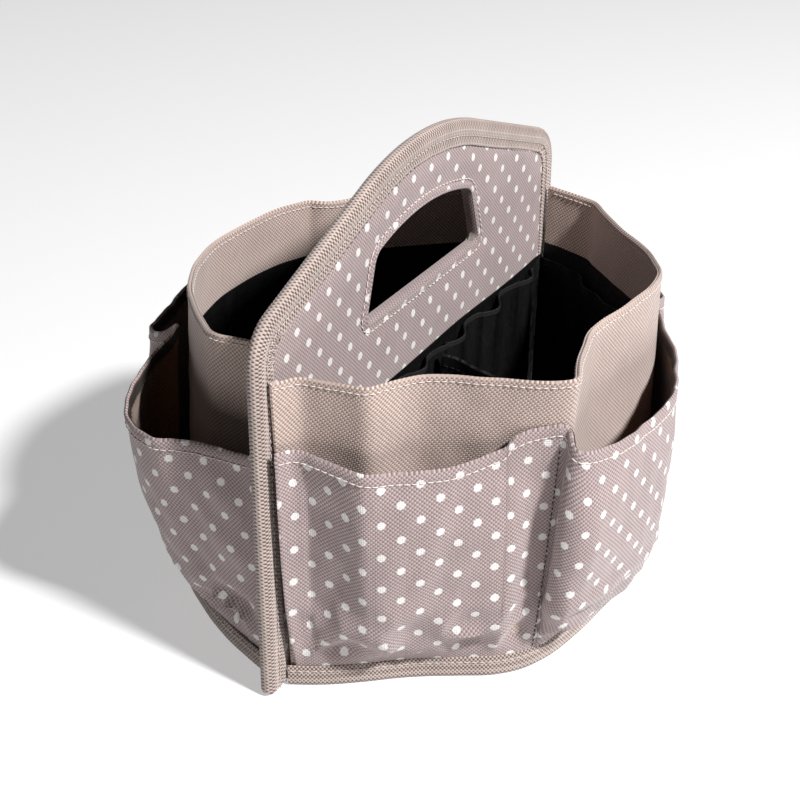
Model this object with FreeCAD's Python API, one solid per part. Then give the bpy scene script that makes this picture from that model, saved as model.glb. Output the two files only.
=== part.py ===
import FreeCAD, Part
import math
import os

Vector = FreeCAD.Vector

# A folding fabric cleaning caddy: a stiff upright divider with a hand hole, and a
# half-round compartment sewn to each of its faces, with pockets outside and inside.
# Millimetres. +Z is up, X runs along the divider, Y crosses it. The origin is on the
# floor, below the middle of the divider. Side -1 is the front half, side +1 the rear.

# Divider, over its edge binding
DIVIDER_WIDTH = 250.0
DIVIDER_HEIGHT = 193.0
CROWN_WIDTH = 90.0             # chord of the arc at the top
SHOULDER_SLOPE = 20.0          # fall of the straight runs beside the crown, degrees
SHOULDER_RADIUS = 20.0
STIFFENER_THICKNESS = 2.4      # the board inside the divider
COVER_THICKNESS = 0.8          # the printed fabric on each face

# Hand hole
HOLE_WIDTH = 97.0              # along its flat bottom edge
HOLE_TOP_WIDTH = 80.0          # where the sides meet the arched top
HOLE_BOTTOM = 129.0            # height of the bottom edge above the floor
HOLE_SIDE_HEIGHT = 27.0
HOLE_HEIGHT = 34.0             # to the middle of the arch
HOLE_CORNER_RADIUS = 5.0
FACING_THICKNESS = 0.8         # turned fabric round the cut edge

# Webbing bindings
BINDING_THICKNESS = 1.2
EDGE_BINDING_WIDTH = 12.0      # how far it laps each face of the divider
BASE_BINDING_HEIGHT = 9.5
BASE_BINDING_LAP = 9.0         # how far it turns in under the bottom

# Compartment walls
BASE_INSET = 10.0              # from the divider's edge to the foot of the wall
BASE_DEPTH = 93.0              # from the middle of the divider
RIM_FLARE_X = 4.0              # how much further out the rim is than the foot
RIM_FLARE_Y = 2.0
WALL_HEIGHT = 136.0
WALL_THICKNESS = 1.2
LINING_THICKNESS = 0.5
TOP_FACING_HEIGHT = 28.0       # plain band turned in below the rim
LAYER_GAP = 0.3                # air between one sheet and the next

# Outer pockets: one strip per half, sewn down at the seams between the pockets
HEM_HEIGHT = 105.0
POCKET_THICKNESS = 0.9
POCKET_BULGE = 18.0            # how far each pocket stands out at its hem
KNEE_HEIGHT = 45.0             # below this the pockets curve in to the base
KNEE_SHARE = 0.72              # part of the bulge that is left at the knee
MIDDLE_SEAM_ANGLE = 60.0       # from the divider's line to the middle pocket's seam
HEM_TAPE_THICKNESS = 0.5
HEM_TAPE_WIDTH = 5.0

# Flat pockets inside the wall
INNER_POCKET_BOTTOM = 22.0
INNER_POCKET_TOP = 96.0
INNER_POCKET_BULGE = 3.0
INNER_POCKET_COUNT = 4
NYLON_THICKNESS = 0.6

# Gathered pocket on each face of the divider
DIVIDER_LINING_TOP = 98.0
GATHER_MARGIN = 10.0           # from the edge binding to the end of the gathers
GATHER_BOTTOM = 12.0
GATHER_TOP = 94.0
GATHER_BULGE = 3.0
GATHER_COUNT = 12
ELASTIC_WIDTH = 3.5
ELASTIC_THICKNESS = 0.8

# Partition across the front compartment
PARTITION_THICKNESS = 1.2
PARTITION_HEM_THICKNESS = 2.2
PARTITION_HEM_HEIGHT = 5.0
PARTITION_TOP = 96.0

# Loose stiff boards in the bottom, which fold up against the divider
BASE_BOARD_THICKNESS = 2.4
BASE_BOARD_CLEARANCE = 1.2     # all round, and to the partition

# Worked out from the sizes above
DIVIDER_FACE = STIFFENER_THICKNESS / 2 + COVER_THICKNESS
BINDING_FACE = DIVIDER_FACE + BINDING_THICKNESS
BINDING_INNER_X = DIVIDER_WIDTH / 2 - EDGE_BINDING_WIDTH
SIDE_START = BINDING_FACE + LAYER_GAP          # where the wall sheets meet the divider
BASE_WIDTH = DIVIDER_WIDTH - 2 * BASE_INSET
RIM_WIDTH = BASE_WIDTH + 2 * RIM_FLARE_X
RIM_DEPTH = BASE_DEPTH + RIM_FLARE_Y
GATHER_WIDTH = 2 * (BINDING_INNER_X - GATHER_MARGIN)
COVER_BOTTOM = BINDING_THICKNESS               # the bottom covers lie on the binding
SHEET_BOTTOM = COVER_BOTTOM + COVER_THICKNESS  # the walls stand on the bottom covers
POCKET_SEAMS = (0.0, MIDDLE_SEAM_ANGLE, 180.0 - MIDDLE_SEAM_ANGLE, 180.0)
FULL_TURN_SEAMS = (0.0, 180.0)

os.makedirs("parts", exist_ok=True)


def export(name, shape):
    shape.exportStep("parts/" + name + ".step")


def line(start, end):
    return Part.LineSegment(start, end).toShape()


def arc(start, middle, end):
    return Part.Arc(start, middle, end).toShape()


def smooth(points):
    curve = Part.BSplineCurve()
    curve.interpolate(points)
    return curve.toShape()


def polyline(points):
    closed = points + points[:1]
    return [line(a, b) for a, b in zip(closed, closed[1:])]


def prism(edges, direction):
    return Part.Face(Part.Wire(edges)).extrude(direction)


def slab(low, high):
    size = high - low
    return Part.makeBox(size.x, size.y, size.z, low)


def ordered_slab(x_range, y_range, z_range):
    lows = [min(pair) for pair in (x_range, y_range, z_range)]
    highs = [max(pair) for pair in (x_range, y_range, z_range)]
    return slab(Vector(*lows), Vector(*highs))


# ---- Divider ----

def divider_prism(grow, half_thickness, bottom):
    """The divider's outline, moved outwards by grow, as a plate about y = 0."""
    slope = math.radians(SHOULDER_SLOPE)
    sine = math.sin(slope)
    cosine = math.cos(slope)
    half_width = DIVIDER_WIDTH / 2
    crown_radius = CROWN_WIDTH / 2 / sine
    crown_z = DIVIDER_HEIGHT - crown_radius
    shoulder_x = half_width - SHOULDER_RADIUS
    reach = crown_z * cosine + crown_radius - SHOULDER_RADIUS - shoulder_x * sine
    shoulder_z = reach / cosine
    big = crown_radius + grow
    small = SHOULDER_RADIUS + grow
    halfway = (math.pi / 2 + slope) / 2

    def at(x, z):
        return Vector(x, -half_thickness, z)

    def shoulder(sign, angle):
        return at(sign * (shoulder_x + small * math.sin(angle)), shoulder_z + small * math.cos(angle))

    top = at(0, crown_z + big)
    left_crown = at(-big * sine, crown_z + big * cosine)
    right_crown = at(big * sine, crown_z + big * cosine)
    left_foot = at(-half_width - grow, bottom)
    right_foot = at(half_width + grow, bottom)
    edges = [
        line(left_foot, shoulder(-1, math.pi / 2)),
        arc(shoulder(-1, math.pi / 2), shoulder(-1, halfway), shoulder(-1, slope)),
        line(shoulder(-1, slope), left_crown),
        arc(left_crown, top, right_crown),
        line(right_crown, shoulder(1, slope)),
        arc(shoulder(1, slope), shoulder(1, halfway), shoulder(1, math.pi / 2)),
        line(shoulder(1, math.pi / 2), right_foot),
        line(right_foot, left_foot),
    ]
    return prism(edges, Vector(0, 2 * half_thickness, 0))


def hole_prism(grow, half_thickness):
    """The hand hole as a plug: flat bottom, sides that lean in, arched top."""
    bottom = HOLE_WIDTH / 2 + grow
    top = HOLE_TOP_WIDTH / 2 + grow
    y = -half_thickness
    low = HOLE_BOTTOM - grow
    side = HOLE_BOTTOM + HOLE_SIDE_HEIGHT
    left_top = Vector(-top, y, side)
    right_top = Vector(top, y, side)
    edges = [
        line(Vector(-bottom, y, low), left_top),
        arc(left_top, Vector(0, y, HOLE_BOTTOM + HOLE_HEIGHT + grow), right_top),
        line(right_top, Vector(bottom, y, low)),
        line(Vector(bottom, y, low), Vector(-bottom, y, low)),
    ]
    plug = prism(edges, Vector(0, 2 * half_thickness, 0))
    corners = [edge for edge in plug.Edges if runs_across(edge)]
    return plug.makeFillet(HOLE_CORNER_RADIUS + grow, corners)


def runs_across(edge):
    start, end = edge.Vertexes[0].Point, edge.Vertexes[-1].Point
    return abs(end.y - start.y) > 0.1


def build_divider():
    plate = divider_prism(-BINDING_THICKNESS, DIVIDER_FACE, COVER_BOTTOM)
    plate = plate.cut(hole_prism(FACING_THICKNESS, 2 * DIVIDER_FACE))
    core = STIFFENER_THICKNESS / 2
    across = (-DIVIDER_WIDTH, DIVIDER_WIDTH)
    upward = (0, 2 * DIVIDER_HEIGHT)
    export("divider_stiffener", plate.common(ordered_slab(across, (-core, core), upward)))
    export("divider_front_cover", plate.common(ordered_slab(across, (-DIVIDER_FACE, -core), upward)))
    export("divider_rear_cover", plate.common(ordered_slab(across, (core, DIVIDER_FACE), upward)))
    facing = hole_prism(FACING_THICKNESS, DIVIDER_FACE).cut(hole_prism(0, 2 * DIVIDER_FACE))
    export("hand_hole_facing", facing)
    binding = divider_prism(0, BINDING_FACE, 0)
    below_floor = -DIVIDER_HEIGHT
    binding = binding.cut(divider_prism(-BINDING_THICKNESS, DIVIDER_FACE, below_floor))
    binding = binding.cut(divider_prism(-EDGE_BINDING_WIDTH, 2 * BINDING_FACE, below_floor))
    export("divider_edge_binding", binding)


# ---- Half-round sheets ----

def wall_size(z):
    """Half width and depth of the wall's outer face at height z."""
    share = (z - SHEET_BOTTOM) / (WALL_HEIGHT - SHEET_BOTTOM)
    half_width = (BASE_WIDTH + share * (RIM_WIDTH - BASE_WIDTH)) / 2
    depth = BASE_DEPTH + share * (RIM_DEPTH - BASE_DEPTH)
    return half_width, depth


def wall_point(side, z, angle, stand_off):
    """A point on the half ellipse of the wall, moved straight outwards by stand_off."""
    half_width, depth = wall_size(z)
    turn = math.radians(angle)
    reach = depth - SIDE_START
    outward = Vector(reach * math.cos(turn), half_width * math.sin(turn), 0)
    outward.normalize()
    x = half_width * math.cos(turn) + stand_off * outward.x
    y = SIDE_START + reach * math.sin(turn) + stand_off * outward.y
    return Vector(x, side * y, z)


def wall_curves(side, z, seams, stand_off, bulge):
    """Curves along the wall, one per span between seams, each swelling by bulge."""
    curves = []
    for start, end in zip(seams, seams[1:]):
        steps = max(4, round((end - start) / 12))
        points = []
        for step in range(steps + 1):
            share = step / steps
            swell = bulge * math.sin(math.pi * share)
            points.append(wall_point(side, z, start + share * (end - start), stand_off + swell))
        curves.append(smooth(points))
    return curves


def ring_wire(side, z, seams, outer, thickness, bulge=0.0):
    outside = wall_curves(side, z, seams, outer, bulge)
    inside = wall_curves(side, z, seams, outer - thickness, bulge)
    caps = [line(wall_point(side, z, angle, outer), wall_point(side, z, angle, outer - thickness))
            for angle in (seams[0], seams[-1])]
    return Part.Wire(outside + [caps[1]] + inside[::-1] + [caps[0]])


def sheet(wires):
    return Part.makeLoft(wires, True, True)


def even_seams(count):
    return tuple(180.0 * index / count for index in range(count + 1))


def half_disc(side, low, thickness, stand_off, straight_y):
    """A flat half-round panel whose straight edge lies at straight_y."""
    curve = wall_curves(side, SHEET_BOTTOM, FULL_TURN_SEAMS, stand_off, 0.0)[0]
    right = wall_point(side, SHEET_BOTTOM, 0.0, stand_off)
    left = wall_point(side, SHEET_BOTTOM, 180.0, stand_off)
    edges = [curve, line(left, right)]
    panel = prism(edges, Vector(0, 0, thickness))
    panel.translate(Vector(0, 0, low - SHEET_BOTTOM))
    if straight_y > SIDE_START:
        waste = ordered_slab((-BASE_WIDTH, BASE_WIDTH), (0, side * straight_y), (low - 1, low + thickness + 1))
        panel = panel.cut(waste)
    if straight_y < SIDE_START:
        # The tongue that runs in between the two ends of the edge binding
        tongue = BINDING_INNER_X - LAYER_GAP
        extra = ordered_slab((-tongue, tongue), (side * straight_y, side * (SIDE_START + 1)),
                             (low, low + thickness))
        panel = panel.fuse(extra).removeSplitter()
    return panel


# ---- Walls, linings and inner pockets ----

LINING_FACE = -WALL_THICKNESS - LAYER_GAP       # outer face of what lines the wall
INNER_FACE = LINING_FACE - LINING_THICKNESS     # its inner face
INNER_POCKET_FACE = INNER_FACE - LAYER_GAP


def build_wall(side, half):
    seams = FULL_TURN_SEAMS
    facing_bottom = WALL_HEIGHT - TOP_FACING_HEIGHT
    lining_top = facing_bottom - LAYER_GAP
    export(half + "_wall", sheet([ring_wire(side, z, seams, 0.0, WALL_THICKNESS)
                                  for z in (SHEET_BOTTOM, WALL_HEIGHT)]))
    export(half + "_wall_top_facing", sheet([ring_wire(side, z, seams, LINING_FACE, LINING_THICKNESS)
                                             for z in (facing_bottom, WALL_HEIGHT)]))
    export(half + "_wall_lining", sheet([ring_wire(side, z, seams, LINING_FACE, LINING_THICKNESS)
                                         for z in (SHEET_BOTTOM, lining_top)]))


def build_inner_pockets(side, half):
    seams = even_seams(INNER_POCKET_COUNT)
    levels = ((INNER_POCKET_BOTTOM, 0.0), (INNER_POCKET_TOP, INNER_POCKET_BULGE))
    export(half + "_inner_pockets", sheet([ring_wire(side, z, seams, INNER_POCKET_FACE, NYLON_THICKNESS, -bulge)
                                           for z, bulge in levels]))


# ---- Outer pockets ----

def pocket_stand_off(z):
    """How far the strip's inner face is from the wall at a seam: the hem leaves room for its tape."""
    share = (z - SHEET_BOTTOM) / (HEM_HEIGHT - SHEET_BOTTOM)
    return LAYER_GAP + share * (LAYER_GAP + HEM_TAPE_THICKNESS)


def pocket_bulge(z):
    if z < KNEE_HEIGHT:
        return POCKET_BULGE * KNEE_SHARE * (z - SHEET_BOTTOM) / (KNEE_HEIGHT - SHEET_BOTTOM)
    share = (z - KNEE_HEIGHT) / (HEM_HEIGHT - KNEE_HEIGHT)
    return POCKET_BULGE * (KNEE_SHARE + share * (1 - KNEE_SHARE))


def pocket_ring(side, z, inner, thickness):
    """A section that lies inner away from the wall side of the pocket strip."""
    outer = pocket_stand_off(z) + inner + thickness
    return ring_wire(side, z, POCKET_SEAMS, outer, thickness, pocket_bulge(z))


def build_outer_pockets(side, half):
    levels = (SHEET_BOTTOM, KNEE_HEIGHT, HEM_HEIGHT)
    export(half + "_outer_pockets", sheet([pocket_ring(side, z, 0.0, POCKET_THICKNESS) for z in levels]))
    tape_levels = (HEM_HEIGHT - HEM_TAPE_WIDTH, HEM_HEIGHT)
    inset = -LAYER_GAP / 2 - HEM_TAPE_THICKNESS
    export(half + "_pocket_hem_tape", sheet([pocket_ring(side, z, inset, HEM_TAPE_THICKNESS)
                                             for z in tape_levels]))


# ---- Bottom ----

def build_bottom(side, half):
    strip_face = pocket_stand_off(SHEET_BOTTOM) + POCKET_THICKNESS
    export(half + "_bottom_cover",
           half_disc(side, COVER_BOTTOM, COVER_THICKNESS, strip_face, DIVIDER_FACE))
    export(half + "_bottom_lining",
           half_disc(side, SHEET_BOTTOM, LINING_THICKNESS, INNER_FACE - LAYER_GAP, SIDE_START))
    build_base_binding(side, half, strip_face)


def build_base_binding(side, half, strip_face):
    """Webbing with an upright leg outside the pockets and a flat leg under the bottom."""
    inner = POCKET_THICKNESS + LAYER_GAP
    upright = sheet([pocket_ring(side, z, inner, BINDING_THICKNESS)
                     for z in (SHEET_BOTTOM, BASE_BINDING_HEIGHT)])
    leg_face = strip_face + LAYER_GAP + BINDING_THICKNESS
    lap = BINDING_THICKNESS + BASE_BINDING_LAP
    seams = POCKET_SEAMS
    foot = sheet([lowered(ring_wire(side, SHEET_BOTTOM, seams, leg_face, lap), z)
                  for z in (0.0, BINDING_THICKNESS)])
    heel = sheet([lowered(ring_wire(side, SHEET_BOTTOM, seams, leg_face, BINDING_THICKNESS), z)
                  for z in (BINDING_THICKNESS, SHEET_BOTTOM)])
    export(half + "_base_binding", upright.fuse([heel, foot]).removeSplitter())


def lowered(wire, z):
    moved = wire.copy()
    moved.translate(Vector(0, 0, z - SHEET_BOTTOM))
    return moved


# ---- Lining and gathered pocket on the divider ----

def gather_wire(side, z, face, thickness, bulge):
    """A row of gathers that stand out from the divider, between face and face + thickness."""
    pitch = GATHER_WIDTH / GATHER_COUNT
    outside = []
    inside = []
    for index in range(GATHER_COUNT):
        start = -GATHER_WIDTH / 2 + index * pitch
        for edges, y in ((outside, face + thickness), (inside, face)):
            left = Vector(start, side * y, z)
            middle = Vector(start + pitch / 2, side * (y + bulge), z)
            right = Vector(start + pitch, side * y, z)
            edges.append(arc(left, middle, right))
    caps = [line(Vector(x, side * face, z), Vector(x, side * (face + thickness), z))
            for x in (-GATHER_WIDTH / 2, GATHER_WIDTH / 2)]
    return Part.Wire(outside + [caps[1]] + inside[::-1] + [caps[0]])


LINING_INNER_Y = DIVIDER_FACE + LINING_THICKNESS
GATHER_FACE = LINING_INNER_Y + LAYER_GAP
ELASTIC_FACE = GATHER_FACE + NYLON_THICKNESS + LAYER_GAP
GATHER_MIN_BULGE = 0.2


def gather_bulge(z):
    share = (z - GATHER_BOTTOM) / (GATHER_TOP - GATHER_BOTTOM)
    return GATHER_MIN_BULGE + share * (GATHER_BULGE - GATHER_MIN_BULGE)


def gather_rise(x):
    """How far the gathers' tops stand out at a distance x from a seam between two of them."""
    share = x * GATHER_COUNT / GATHER_WIDTH
    return 4 * GATHER_BULGE * share * (1 - share)


def build_divider_side(side, half):
    half_length = BINDING_INNER_X - LAYER_GAP
    export(half + "_divider_lining",
           ordered_slab((-half_length, half_length), (side * DIVIDER_FACE, side * LINING_INNER_Y),
                        (SHEET_BOTTOM, DIVIDER_LINING_TOP)))
    export(half + "_divider_pockets",
           sheet([gather_wire(side, z, GATHER_FACE, NYLON_THICKNESS, gather_bulge(z))
                  for z in (GATHER_BOTTOM, GATHER_TOP)]))
    export(half + "_divider_elastic",
           sheet([gather_wire(side, z, ELASTIC_FACE, ELASTIC_THICKNESS, gather_bulge(z))
                  for z in (GATHER_TOP - ELASTIC_WIDTH, GATHER_TOP)]))


# ---- Partition across the front compartment ----

def build_partition():
    half_hem = PARTITION_HEM_THICKNESS / 2
    start = ELASTIC_FACE + ELASTIC_THICKNESS + LAYER_GAP + gather_rise(half_hem)
    levels = (SHEET_BOTTOM + LINING_THICKNESS + LAYER_GAP, PARTITION_TOP)
    ends = [wall_size(z)[1] + INNER_POCKET_FACE - NYLON_THICKNESS - LAYER_GAP for z in levels]
    outline = [
        Vector(0, -start, levels[0]),
        Vector(0, -ends[0], levels[0]),
        Vector(0, -ends[1], levels[1]),
        Vector(0, -start, levels[1]),
    ]
    panel = prism(polyline(outline), Vector(PARTITION_THICKNESS, 0, 0))
    panel.translate(Vector(-PARTITION_THICKNESS / 2, 0, 0))
    hem = ordered_slab((-half_hem, half_hem), (-start, -ends[0]),
                       (PARTITION_TOP - PARTITION_HEM_HEIGHT, PARTITION_TOP))
    export("front_partition", panel.fuse(hem).removeSplitter())


# ---- Base boards ----

HINGE_Y = LINING_INNER_Y + LAYER_GAP + BASE_BOARD_THICKNESS
BASE_BOARD_BOTTOM = SHEET_BOTTOM + LINING_THICKNESS + LAYER_GAP


def build_base_boards():
    """Rear: one half-round board. Front: two, one each side of the partition."""
    edge = INNER_FACE - BASE_BOARD_CLEARANCE
    rear = half_disc(1, BASE_BOARD_BOTTOM, BASE_BOARD_THICKNESS, edge, HINGE_Y)
    export("rear_base_board", rear)
    front = half_disc(-1, BASE_BOARD_BOTTOM, BASE_BOARD_THICKNESS, edge, HINGE_Y)
    inner_x = PARTITION_HEM_THICKNESS / 2 + BASE_BOARD_CLEARANCE
    for name, sign in (("front_left_base_board", -1), ("front_right_base_board", 1)):
        window = ordered_slab((sign * inner_x, sign * BASE_WIDTH), (0, -2 * BASE_DEPTH), (0, WALL_HEIGHT))
        export(name, front.common(window))


build_divider()
for side, half in ((-1, "front"), (1, "rear")):
    build_wall(side, half)
    build_inner_pockets(side, half)
    build_outer_pockets(side, half)
    build_bottom(side, half)
    build_divider_side(side, half)
build_partition()
build_base_boards()
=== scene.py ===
import math
import random

import bpy
import bmesh
import numpy as np
from mathutils import Matrix, Vector


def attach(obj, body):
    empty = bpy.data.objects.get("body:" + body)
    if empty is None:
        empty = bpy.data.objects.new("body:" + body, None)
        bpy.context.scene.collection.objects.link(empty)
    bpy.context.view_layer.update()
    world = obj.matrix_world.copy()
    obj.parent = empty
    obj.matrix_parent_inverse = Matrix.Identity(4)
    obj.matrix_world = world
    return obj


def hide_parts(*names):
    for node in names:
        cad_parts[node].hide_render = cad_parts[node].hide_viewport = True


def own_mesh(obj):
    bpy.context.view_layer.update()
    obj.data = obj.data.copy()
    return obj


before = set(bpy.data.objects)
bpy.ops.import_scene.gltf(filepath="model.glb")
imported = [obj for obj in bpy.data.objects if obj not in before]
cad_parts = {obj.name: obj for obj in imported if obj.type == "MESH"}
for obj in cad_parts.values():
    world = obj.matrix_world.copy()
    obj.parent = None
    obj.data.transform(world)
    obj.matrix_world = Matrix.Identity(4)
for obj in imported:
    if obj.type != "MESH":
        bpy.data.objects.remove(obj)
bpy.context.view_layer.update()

# A folding cleaning caddy in cloth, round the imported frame. Shapes are worked out in
# millimetres and turned into metres when a mesh is made. +Z up, X along the divider,
# front half on -Y.
MM = 0.001
CADDY = "caddy"
FRONT, REAR = -1, 1
NAMES = {FRONT: "front", REAR: "rear"}


# ---- Curves ----

def unit(v):
    return v / np.maximum(np.linalg.norm(v, axis=-1, keepdims=True), 1e-9)


def along(points):
    """Distance along a line of points."""
    steps = np.linalg.norm(np.diff(points, axis=0), axis=1)
    return np.concatenate([[0.0], np.cumsum(steps)])


def resample(points, count=None, at=None):
    s = along(points)
    if at is None:
        at = np.linspace(0, s[-1], count)
    return np.stack([np.interp(at, s, points[:, k]) for k in range(points.shape[1])], 1)


def smooth(points, count):
    """count points evenly spaced on a centripetal Catmull-Rom curve."""
    p = np.asarray(points, float)
    p = np.vstack([2 * p[0] - p[1], p, 2 * p[-1] - p[-2]])
    steps = np.linalg.norm(np.diff(p, axis=0), axis=1)
    t = np.concatenate([[0], np.cumsum(np.sqrt(steps))])
    pieces = []
    for i in range(1, len(p) - 2):
        x = np.linspace(t[i], t[i + 1], 16, endpoint=i == len(p) - 3)[:, None]

        def blend(a, b, start, end):
            return (t[end] - x) / (t[end] - t[start]) * a + (x - t[start]) / (t[end] - t[start]) * b

        a1, a2, a3 = (blend(p[k], p[k + 1], k, k + 1) for k in (i - 1, i, i + 1))
        pieces.append(blend(blend(a1, a2, i - 1, i + 1), blend(a2, a3, i, i + 2), i, i + 1))
    return resample(np.vstack(pieces), count)


def field(u, v, size, seed, stretch=1.0):
    """A smooth irregular field about zero, roughly one high, with features of that size."""
    draw = random.Random(seed)
    total = 0.0
    for _ in range(7):
        turn = draw.uniform(0, 2 * math.pi)
        wave = 2 * math.pi / (size * draw.uniform(0.7, 1.7))
        shift = draw.uniform(0, 2 * math.pi)
        total = total + np.sin((u * math.cos(turn) + v * math.sin(turn) / stretch) * wave + shift)
    return total / 3.5


def step(x, low, high):
    """Zero below low, one above high, and smooth between them."""
    t = np.clip((x - low) / (high - low), 0, 1)
    return t * t * (3 - 2 * t)


# ---- Meshes ----

def make(name, verts, faces, uvs, materials, kinds=None, sharp=None):
    """A mesh object from millimetre points. uvs holds one pair per face corner."""
    mesh = bpy.data.meshes.new(name)
    mesh.from_pydata((np.asarray(verts, float) * MM).tolist(), [], faces)
    layer = mesh.uv_layers.new(name="cloth")
    layer.uv.foreach_set("vector", np.asarray(uvs, np.float32).ravel())
    for m in materials:
        mesh.materials.append(m)
    if kinds is not None:
        mesh.polygons.foreach_set("material_index", np.asarray(kinds, np.int32))
    mesh.polygons.foreach_set("use_smooth", np.ones(len(mesh.polygons), bool))
    if sharp:
        mesh.set_sharp_from_angle(angle=math.radians(sharp))
    mesh.update()
    return show(name, mesh)


def show(name, data):
    """An object of that data, linked to the scene."""
    obj = bpy.data.objects.new(name, data)
    bpy.context.scene.collection.objects.link(obj)
    return obj


def grid_normals(grid):
    du = np.gradient(grid, axis=1)
    dv = np.gradient(grid, axis=0)
    return unit(np.cross(du, dv))


def offset(grid, distance):
    """A grid of points moved along its normals."""
    distance = np.broadcast_to(np.asarray(distance, float), grid.shape[:2])
    return grid + grid_normals(grid) * distance[..., None]


def lengths(grid, axis):
    """Distance along each row (axis 1) or up each column (axis 0) of a grid of points."""
    steps = np.linalg.norm(np.diff(grid, axis=axis), axis=2)
    return np.insert(np.cumsum(steps, axis), 0, 0.0, axis)


def flat_pattern(grid, centre):
    """Cloth coordinates in mm: along each row from the centre column, and up each column."""
    u = lengths(grid, 1)
    return np.stack([u - u[:, centre:centre + 1], lengths(grid, 0)], 2)


def ripples(grid, size, seed, stretch=1.0):
    """The irregular field on a sheet's own cloth coordinates."""
    u, v = np.moveaxis(flat_pattern(grid, grid.shape[1] // 2), 2, 0)
    return field(u, v, size, seed, stretch)


EDGE_SHARE = 0.9                  # how far a sheet's rounded edge reaches, in half thicknesses
PRINT_SHIFT, PRINT_REPEAT = (37.3, 22.9), 15    # each pocket's print starts somewhere else


def shell(name, grid, thickness, outside, inside=None, patches=(), shift=(0, 0), sharp=40,
          cut=None):
    """A closed sheet of cloth about a grid of points (rows up, columns along), with rounded
    edges. patches are the columns where one pocket's cloth ends and the next one's begins. cut is
    the same sheet without its wrinkles, which gives the cloth coordinates."""
    rows, cols = grid.shape[:2]
    half = np.broadcast_to(np.asarray(thickness, float), (rows, cols)) / 2
    normal = grid_normals(grid)
    outer = grid + normal * half[..., None]
    inner = grid - normal * half[..., None]
    du = unit(np.gradient(grid, axis=1))
    dv = unit(np.gradient(grid, axis=0))
    top, end = rows - 1, cols - 1
    border = [(0, c) for c in range(cols)] + [(r, end) for r in range(1, rows)]
    border += [(top, c) for c in range(end - 1, -1, -1)] + [(r, 0) for r in range(top - 1, 0, -1)]
    rim = []
    for r, c in border:
        out = dv[r, c] * ((r == top) - (r == 0)) + du[r, c] * ((c == end) - (c == 0))
        rim.append(grid[r, c] + unit(out) * half[r, c] * EDGE_SHARE)
    verts = np.vstack([outer.reshape(-1, 3), inner.reshape(-1, 3), np.array(rim)])
    patches = [0, *patches, end]
    cut = grid if cut is None else cut
    patterns = [flat_pattern(cut, (a + b) // 2) for a, b in zip(patches, patches[1:])]
    for i, pattern in enumerate(patterns):
        pattern += [shift[k] + i * PRINT_SHIFT[k] % PRINT_REPEAT for k in (0, 1)]
    owner = np.searchsorted(patches[1:-1], np.arange(end), side="right")
    faces, uvs, kinds = [], [], []
    total = rows * cols
    for r in range(top):
        for c in range(end):
            corners = [(r, c), (r, c + 1), (r + 1, c + 1), (r + 1, c)]
            for start, way, kind in ((0, 1, 0), (total, -1, 1 if inside else 0)):
                faces.append([start + a * cols + b for a, b in corners[::way]])
                uvs += [patterns[owner[c]][a, b] for a, b in corners[::way]]
                kinds.append(kind)
    for i, (r0, c0) in enumerate(border):
        j = (i + 1) % len(border)
        r1, c1 = border[j]
        pattern = patterns[owner[min(c0, c1, end - 1)]]
        a, b = pattern[r0, c0], pattern[r1, c1]
        p0, p1 = r0 * cols + c0, r1 * cols + c1
        m0, m1 = 2 * total + i, 2 * total + j
        faces += [[p1, p0, m0, m1], [m1, m0, total + p0, total + p1]]
        uvs += [b, a, a, b] * 2
        kinds += [0, 0]
    materials = [outside, inside] if inside else [outside]
    return make(name, verts, faces, uvs, materials, kinds, sharp)


def sweep(name, path, out, across, section, material, closed=False, sharp=35):
    """A tape whose closed section, pairs (out, across), follows a path."""
    path, out, across = (np.asarray(a, float) for a in (path, out, across))
    section = np.asarray(section, float)
    if section.ndim == 2:
        section = np.broadcast_to(section, (len(path),) + section.shape)
    count, sides = section.shape[:2]
    verts = path[:, None] + section[..., :1] * out[:, None] + section[..., 1:] * across[:, None]
    s = along(path)
    girth = along(np.vstack([section[0], section[0][:1]]))
    faces, uvs = [], []
    for i in range(count if closed else count - 1):
        j = (i + 1) % count
        s_next = s[j] if j else s[-1] + np.linalg.norm(path[0] - path[-1])
        for k in range(sides):
            m = (k + 1) % sides
            faces.append([i * sides + k, j * sides + k, j * sides + m, i * sides + m])
            g, g_next = girth[k], girth[k + 1]
            uvs += [(s[i], g), (s_next, g), (s_next, g_next), (s[i], g_next)]
    if not closed:
        for i, order in ((0, 1), (count - 1, -1)):
            ring = [i * sides + k for k in range(sides)][::order]
            faces.append(ring)
            uvs += [(s[i] + section[i][v % sides][0], section[i][v % sides][1]) for v in ring]
    obj = make(name, verts.reshape(-1, 3), faces, uvs, [material], None, sharp)
    tidy_normals(obj, sharp)
    return obj


def tidy_normals(obj, sharp=None):
    bm = bmesh.new()
    bm.from_mesh(obj.data)
    bmesh.ops.recalc_face_normals(bm, faces=bm.faces)
    bm.to_mesh(obj.data)
    bm.free()
    if sharp:
        obj.data.set_sharp_from_angle(angle=math.radians(sharp))


# Along a stitch: share of its length, share of the thread's radius, and rise in radii
STITCH = [(0.0, 0.35, -0.5), (0.16, 0.95, 0.3), (0.5, 1.0, 0.6), (0.84, 0.95, 0.3),
          (1.0, 0.35, -0.5)]
THREAD_SIDES = 5
THREAD_FLATNESS = 0.8


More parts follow.
